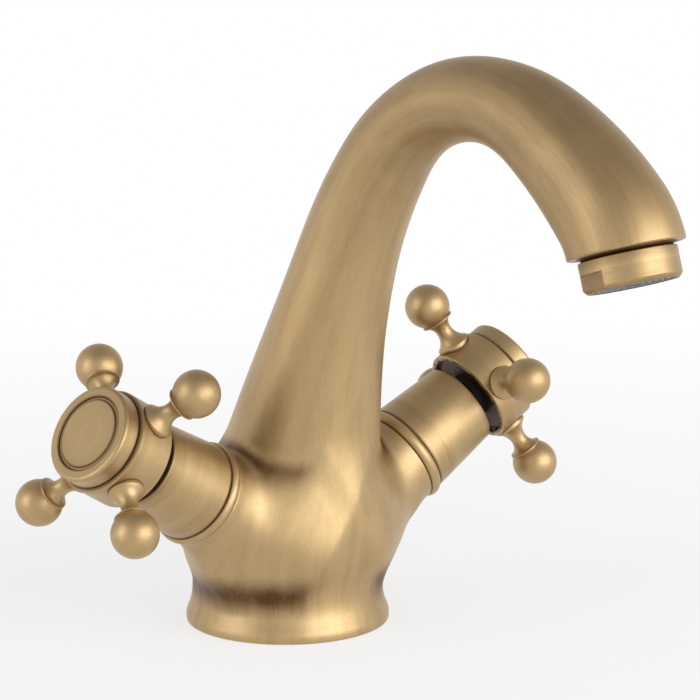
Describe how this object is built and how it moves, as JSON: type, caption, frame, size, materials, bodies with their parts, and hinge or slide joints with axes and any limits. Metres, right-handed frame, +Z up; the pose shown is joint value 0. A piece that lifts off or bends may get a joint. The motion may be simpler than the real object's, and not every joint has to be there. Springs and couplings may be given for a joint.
{
  "type": "cross handle basin mixer tap",
  "caption": "Antique brass basin mixer tap with a fixed swan-neck spout and two cross handles on leaning valves.",
  "frame": {"origin": "centre of the foot's underside, on the deck over the tap hole", "axes": "+Z up, away from the deck; -Y towards the spout's outlet; -X towards the hot handle"},
  "size_m": [0.1608, 0.1707, 0.1591],
  "materials": {
    "antique_brass": "brushed antique brass, satin, lacquered",
    "plain_brass": "machined brass",
    "black_rubber": "matt EPDM rubber",
    "white_ceramic": "lapped alumina ceramic",
    "stainless_steel": "plain stainless steel",
    "black_nylon": "moulded nylon",
    "grey_plastic": "moulded acetal"
  },
  "bodies": {
    "root": {"aerator_housing": "antique_brass", "aerator_insert": "grey_plastic", "aerator_mesh": "stainless_steel", "aerator_washer": "black_rubber", "base_seal": "black_rubber", "body_casting": "antique_brass", "cold_collar_ring": "antique_brass", "cold_fixed_disc": "white_ceramic", "cold_headwork": "plain_brass", "cold_seat_seal": "black_rubber", "cold_sleeve": "antique_brass", "cold_valve_seal": "black_rubber", "hot_collar_ring": "antique_brass", "hot_fixed_disc": "white_ceramic", "hot_headwork": "plain_brass", "hot_seat_seal": "black_rubber", "hot_sleeve": "antique_brass", "hot_valve_seal": "black_rubber"},
    "hot_handle": {"hot_moving_disc": "white_ceramic", "hot_spindle": "plain_brass", "hot_spindle_seals": "black_rubber", "hot_thrust_washer": "black_nylon", "hot_circlip": "stainless_steel", "hot_spline_bush": "black_nylon", "hot_handle_screw": "stainless_steel", "hot_handle_hub": "antique_brass", "hot_handle_cap": "antique_brass", "hot_index_disc": "antique_brass", "hot_spoke_1": "antique_brass", "hot_spoke_2": "antique_brass", "hot_spoke_3": "antique_brass", "hot_spoke_4": "antique_brass"},
    "cold_handle": {"cold_moving_disc": "white_ceramic", "cold_spindle": "plain_brass", "cold_spindle_seals": "black_rubber", "cold_thrust_washer": "black_nylon", "cold_circlip": "stainless_steel", "cold_spline_bush": "black_nylon", "cold_handle_screw": "stainless_steel", "cold_handle_hub": "antique_brass", "cold_handle_cap": "antique_brass", "cold_index_disc": "antique_brass", "cold_spoke_1": "antique_brass", "cold_spoke_2": "antique_brass", "cold_spoke_3": "antique_brass", "cold_spoke_4": "antique_brass"}
  },
  "joints": [
    {"name": "hot_handle_turn", "type": "hinge", "parent": "root", "child": "hot_handle", "pos_m": [-0.0621, -0.00922, 0.05774], "axis": [-0.8531, -0.0836, 0.515], "range_deg": [0, 90]},
    {"name": "cold_handle_turn", "type": "hinge", "parent": "root", "child": "cold_handle", "pos_m": [0.0621, -0.00922, 0.05774], "axis": [0.8531, -0.0836, 0.515], "range_deg": [-90, 0]}
  ]
}
